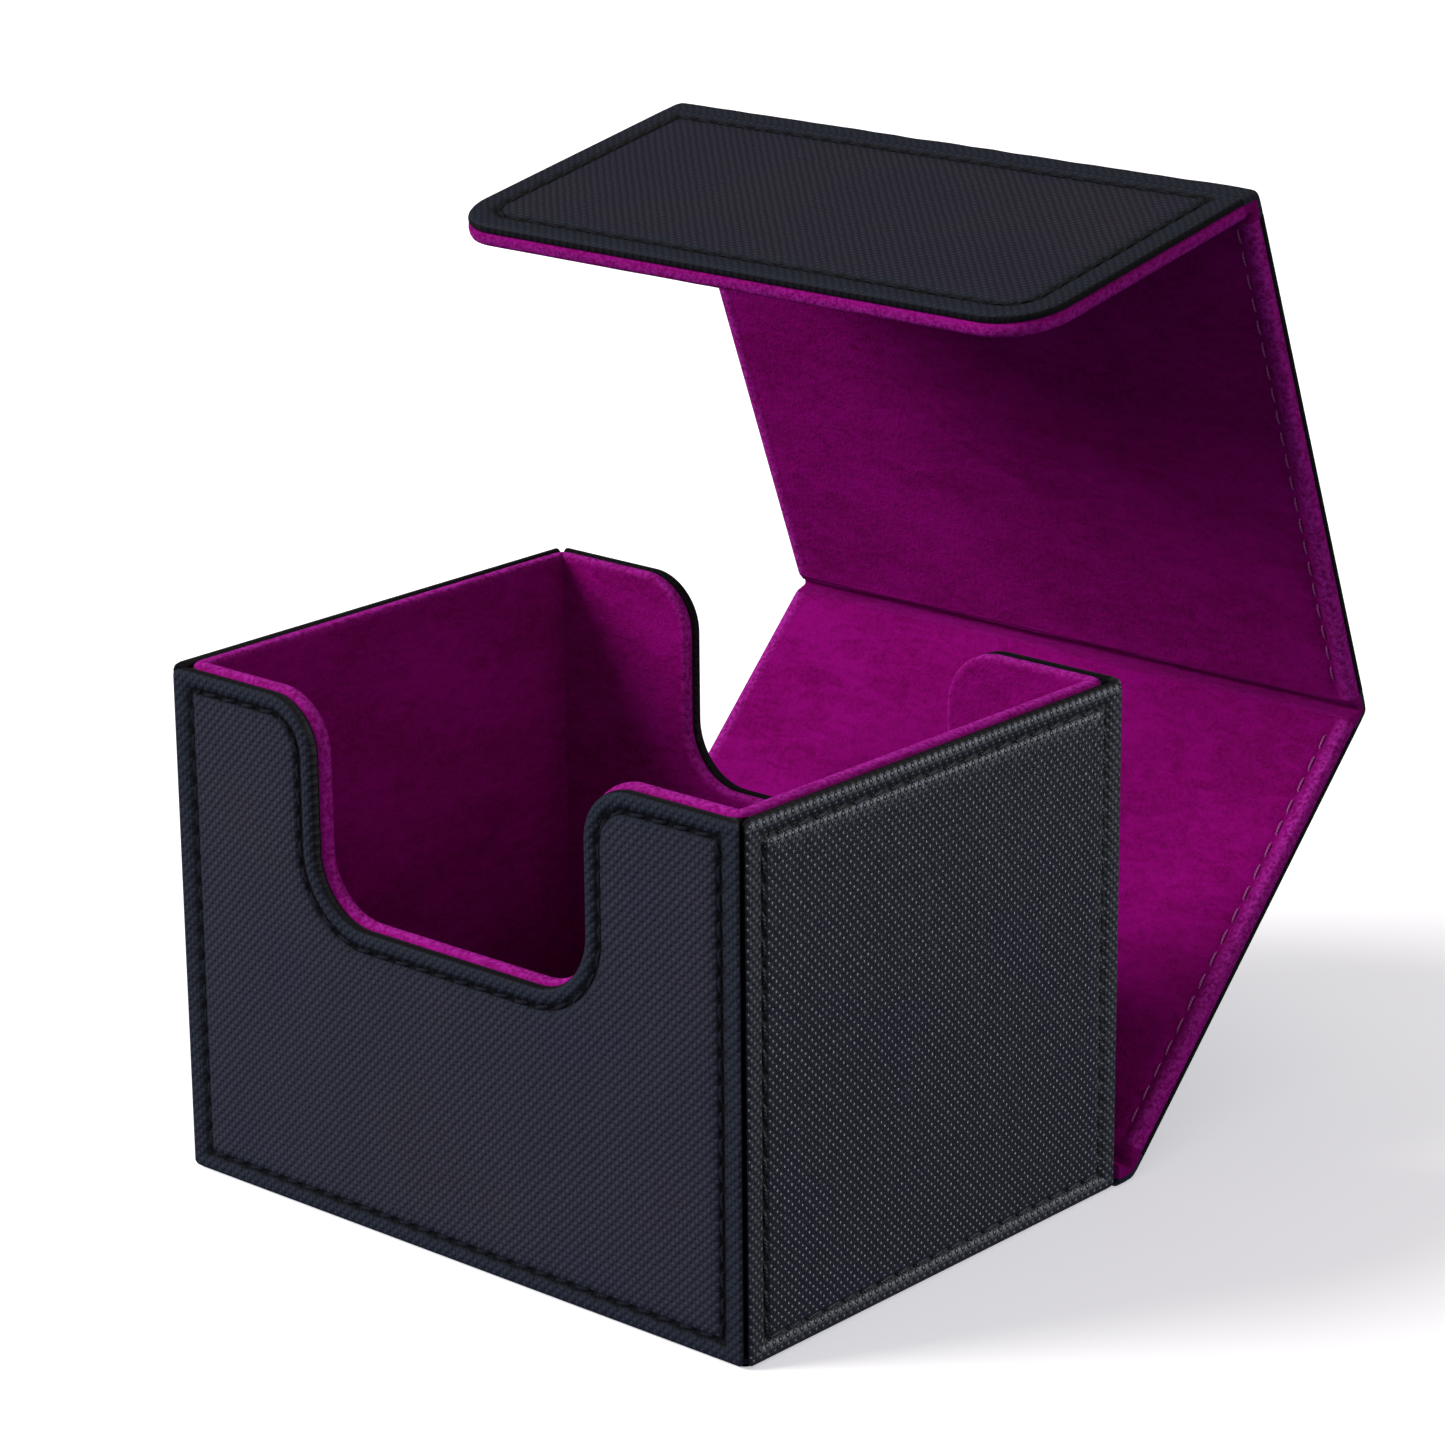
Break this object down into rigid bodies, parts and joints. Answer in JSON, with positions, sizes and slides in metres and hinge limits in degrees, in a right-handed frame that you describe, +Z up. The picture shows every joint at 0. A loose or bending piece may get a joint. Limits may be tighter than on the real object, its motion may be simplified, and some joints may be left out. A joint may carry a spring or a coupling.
{
  "type": "card deck box",
  "caption": "Lined card deck box with thumb-notched end walls and a stitched wrap-around cover that folds over the rear, top and front.",
  "frame": {"origin": "centre of the box's base, on the face it rests on, without the cover", "axes": "+X to the right along the notched front wall, -Y out of the front wall, +Y towards the cover's hinge, +Z up"},
  "size_m": [0.1066, 0.1386, 0.1389],
  "materials": {
    "grained_leather": "cross-hatched grain, satin",
    "suede_lining": "brushed microsuede, matt",
    "dark_thread": "twisted thread",
    "lining_thread": "twisted thread",
    "stiffener_card": "plain",
    "grey_board": "plain",
    "magnet": "nickel plated"
  },
  "bodies": {
    "box": {"front_wall_leather": "grained_leather", "front_wall_stiffener": "stiffener_card", "front_wall_stitching": "dark_thread", "front_wall_board": "grey_board", "front_wall_lining": "suede_lining", "rear_wall_leather": "grained_leather", "rear_wall_stiffener": "stiffener_card", "rear_wall_stitching": "dark_thread", "rear_wall_board": "grey_board", "rear_wall_lining": "suede_lining", "left_wall_leather": "grained_leather", "left_wall_stiffener": "stiffener_card", "left_wall_stitching": "dark_thread", "left_wall_board": "grey_board", "left_wall_lining": "suede_lining", "right_wall_leather": "grained_leather", "right_wall_stiffener": "stiffener_card", "right_wall_stitching": "dark_thread", "right_wall_board": "grey_board", "right_wall_lining": "suede_lining", "base_leather": "grained_leather", "base_stiffener": "stiffener_card", "floor_board": "grey_board", "floor_lining": "suede_lining", "wall_magnets": "magnet", "base_hinge_leather": "grained_leather", "base_hinge_lining": "suede_lining"},
    "back_panel": {"back_cover_leather": "grained_leather", "back_cover_leather_stitching": "dark_thread", "back_cover_stiffener": "stiffener_card", "back_cover_board": "grey_board", "back_cover_lining": "suede_lining", "back_cover_lining_stitching": "lining_thread", "rear_hinge_leather": "grained_leather", "rear_hinge_lining": "suede_lining"},
    "top_panel": {"top_cover_leather": "grained_leather", "top_cover_leather_stitching": "dark_thread", "top_cover_stiffener": "stiffener_card", "top_cover_board": "grey_board", "top_cover_lining": "suede_lining", "top_cover_lining_stitching": "lining_thread", "front_hinge_leather": "grained_leather", "front_hinge_lining": "suede_lining"},
    "front_flap": {"front_flap_leather": "grained_leather", "front_flap_leather_stitching": "dark_thread", "front_flap_stiffener": "stiffener_card", "front_flap_board": "grey_board", "front_flap_lining": "suede_lining", "front_flap_lining_stitching": "lining_thread", "front_flap_magnets": "magnet"}
  },
  "joints": [
    {"name": "back_hinge", "type": "hinge", "parent": "box", "child": "back_panel", "pos_m": [0, 0.04305, 0.0009], "axis": [1, 0, 0], "range_deg": [-45.4, 44.6], "deforming": ["base_hinge_leather", "base_hinge_lining"]},
    {"name": "top_hinge", "type": "hinge", "parent": "back_panel", "child": "top_panel", "pos_m": [0, 0.09803, 0.05665], "axis": [1, 0, 0], "range_deg": [-65.2, 24.8], "deforming": ["rear_hinge_leather", "rear_hinge_lining"]},
    {"name": "flap_hinge", "type": "hinge", "parent": "top_panel", "child": "front_flap", "pos_m": [0, 0.06745, 0.138], "axis": [1, 0, 0], "range_deg": [-80.2, 9.8], "deforming": ["front_hinge_leather", "front_hinge_lining"]}
  ]
}
